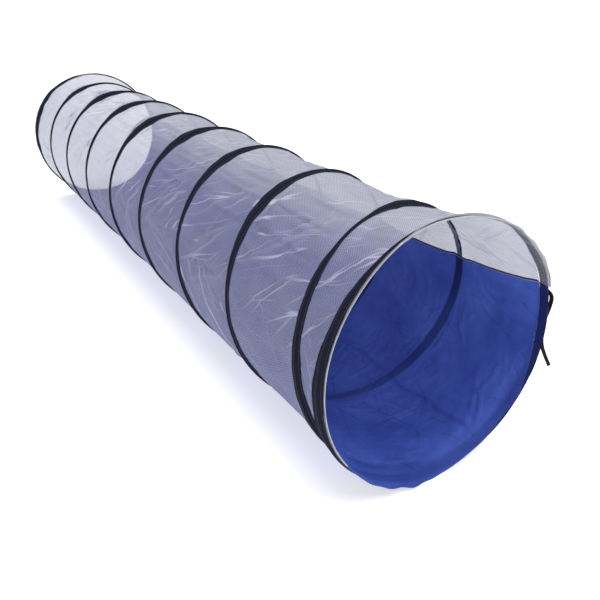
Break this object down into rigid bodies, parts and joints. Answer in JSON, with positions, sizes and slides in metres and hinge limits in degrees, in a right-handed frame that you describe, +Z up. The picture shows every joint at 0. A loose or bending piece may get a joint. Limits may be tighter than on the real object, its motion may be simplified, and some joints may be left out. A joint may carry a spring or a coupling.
{
  "type": "agility tunnel",
  "caption": "Pop-up agility tunnel: a spring-wire helix in black casing tape holds open a round passage of see-through netting with a shiny nylon floor, and folds flat along its axis.",
  "frame": {"origin": "on the floor, under the middle of the tunnel's length", "axes": "+Y along the tunnel from the front opening to the rear, +Z up, +X to the right of somebody looking into the front opening"},
  "size_m": [0.6435, 2.721, 0.6094],
  "materials": {
    "spring_wire": "satin",
    "casing_tape": "woven tape",
    "net": "fine open netting",
    "nylon_floor": "thin shiny woven nylon",
    "seam_tape": "stitched seam",
    "edge_trim": "woven binding",
    "tie": "woven tape"
  },
  "bodies": {
    "front_end": {"front_ring_wire": "spring_wire", "front_ring_casing": "casing_tape", "front_hem_net": "net", "front_trim": "edge_trim", "front_hem_floor": "nylon_floor", "tie_tape": "tie", "spring_turn_1": "spring_wire", "casing_turn_1": "casing_tape", "net_panel_1": "net", "floor_panel_1": "nylon_floor", "seam_left_1": "seam_tape", "seam_right_1": "seam_tape"},
    "span_2": {"spring_turn_2": "spring_wire", "casing_turn_2": "casing_tape", "net_panel_2": "net", "floor_panel_2": "nylon_floor", "seam_left_2": "seam_tape", "seam_right_2": "seam_tape"},
    "span_3": {"spring_turn_3": "spring_wire", "casing_turn_3": "casing_tape", "net_panel_3": "net", "floor_panel_3": "nylon_floor", "seam_left_3": "seam_tape", "seam_right_3": "seam_tape"},
    "span_4": {"spring_turn_4": "spring_wire", "casing_turn_4": "casing_tape", "net_panel_4": "net", "floor_panel_4": "nylon_floor", "seam_left_4": "seam_tape", "seam_right_4": "seam_tape"},
    "span_5": {"spring_turn_5": "spring_wire", "casing_turn_5": "casing_tape", "net_panel_5": "net", "floor_panel_5": "nylon_floor", "seam_left_5": "seam_tape", "seam_right_5": "seam_tape"},
    "span_6": {"spring_turn_6": "spring_wire", "casing_turn_6": "casing_tape", "net_panel_6": "net", "floor_panel_6": "nylon_floor", "seam_left_6": "seam_tape", "seam_right_6": "seam_tape"},
    "span_7": {"spring_turn_7": "spring_wire", "casing_turn_7": "casing_tape", "net_panel_7": "net", "floor_panel_7": "nylon_floor", "seam_left_7": "seam_tape", "seam_right_7": "seam_tape"},
    "span_8": {"spring_turn_8": "spring_wire", "casing_turn_8": "casing_tape", "net_panel_8": "net", "floor_panel_8": "nylon_floor", "seam_left_8": "seam_tape", "seam_right_8": "seam_tape"},
    "rear_end": {"rear_ring_wire": "spring_wire", "rear_ring_casing": "casing_tape", "rear_hem_net": "net", "rear_trim": "edge_trim", "rear_hem_floor": "nylon_floor"}
  },
  "joints": [
    {"name": "collapse_1", "type": "slide", "parent": "front_end", "child": "span_2", "axis": [0, -1, 0], "range_m": [0, 0.323], "stiffness_N_per_m": 30, "springref_m": -0.15, "deforming": ["spring_turn_1", "casing_turn_1", "net_panel_1", "floor_panel_1", "seam_left_1", "seam_right_1"]},
    {"name": "collapse_2", "type": "slide", "parent": "span_2", "child": "span_3", "axis": [0, -1, 0], "range_m": [0, 0.323], "stiffness_N_per_m": 30, "springref_m": -0.15, "deforming": ["spring_turn_2", "casing_turn_2", "net_panel_2", "floor_panel_2", "seam_left_2", "seam_right_2"]},
    {"name": "collapse_3", "type": "slide", "parent": "span_3", "child": "span_4", "axis": [0, -1, 0], "range_m": [0, 0.323], "stiffness_N_per_m": 30, "springref_m": -0.15, "deforming": ["spring_turn_3", "casing_turn_3", "net_panel_3", "floor_panel_3", "seam_left_3", "seam_right_3"]},
    {"name": "collapse_4", "type": "slide", "parent": "span_4", "child": "span_5", "axis": [0, -1, 0], "range_m": [0, 0.323], "stiffness_N_per_m": 30, "springref_m": -0.15, "deforming": ["spring_turn_4", "casing_turn_4", "net_panel_4", "floor_panel_4", "seam_left_4", "seam_right_4"]},
    {"name": "collapse_5", "type": "slide", "parent": "span_5", "child": "span_6", "axis": [0, -1, 0], "range_m": [0, 0.323], "stiffness_N_per_m": 30, "springref_m": -0.15, "deforming": ["spring_turn_5", "casing_turn_5", "net_panel_5", "floor_panel_5", "seam_left_5", "seam_right_5"]},
    {"name": "collapse_6", "type": "slide", "parent": "span_6", "child": "span_7", "axis": [0, -1, 0], "range_m": [0, 0.323], "stiffness_N_per_m": 30, "springref_m": -0.15, "deforming": ["spring_turn_6", "casing_turn_6", "net_panel_6", "floor_panel_6", "seam_left_6", "seam_right_6"]},
    {"name": "collapse_7", "type": "slide", "parent": "span_7", "child": "span_8", "axis": [0, -1, 0], "range_m": [0, 0.323], "stiffness_N_per_m": 30, "springref_m": -0.15, "deforming": ["spring_turn_7", "casing_turn_7", "net_panel_7", "floor_panel_7", "seam_left_7", "seam_right_7"]},
    {"name": "collapse_8", "type": "slide", "parent": "span_8", "child": "rear_end", "axis": [0, -1, 0], "range_m": [0, 0.323], "stiffness_N_per_m": 30, "springref_m": -0.15, "deforming": ["spring_turn_8", "casing_turn_8", "net_panel_8", "floor_panel_8", "seam_left_8", "seam_right_8"]}
  ],
  "couplings": [
    {"joint": "collapse_2", "follows": "collapse_1", "ratio": 1},
    {"joint": "collapse_3", "follows": "collapse_1", "ratio": 1},
    {"joint": "collapse_4", "follows": "collapse_1", "ratio": 1},
    {"joint": "collapse_5", "follows": "collapse_1", "ratio": 1},
    {"joint": "collapse_6", "follows": "collapse_1", "ratio": 1},
    {"joint": "collapse_7", "follows": "collapse_1", "ratio": 1},
    {"joint": "collapse_8", "follows": "collapse_1", "ratio": 1}
  ]
}
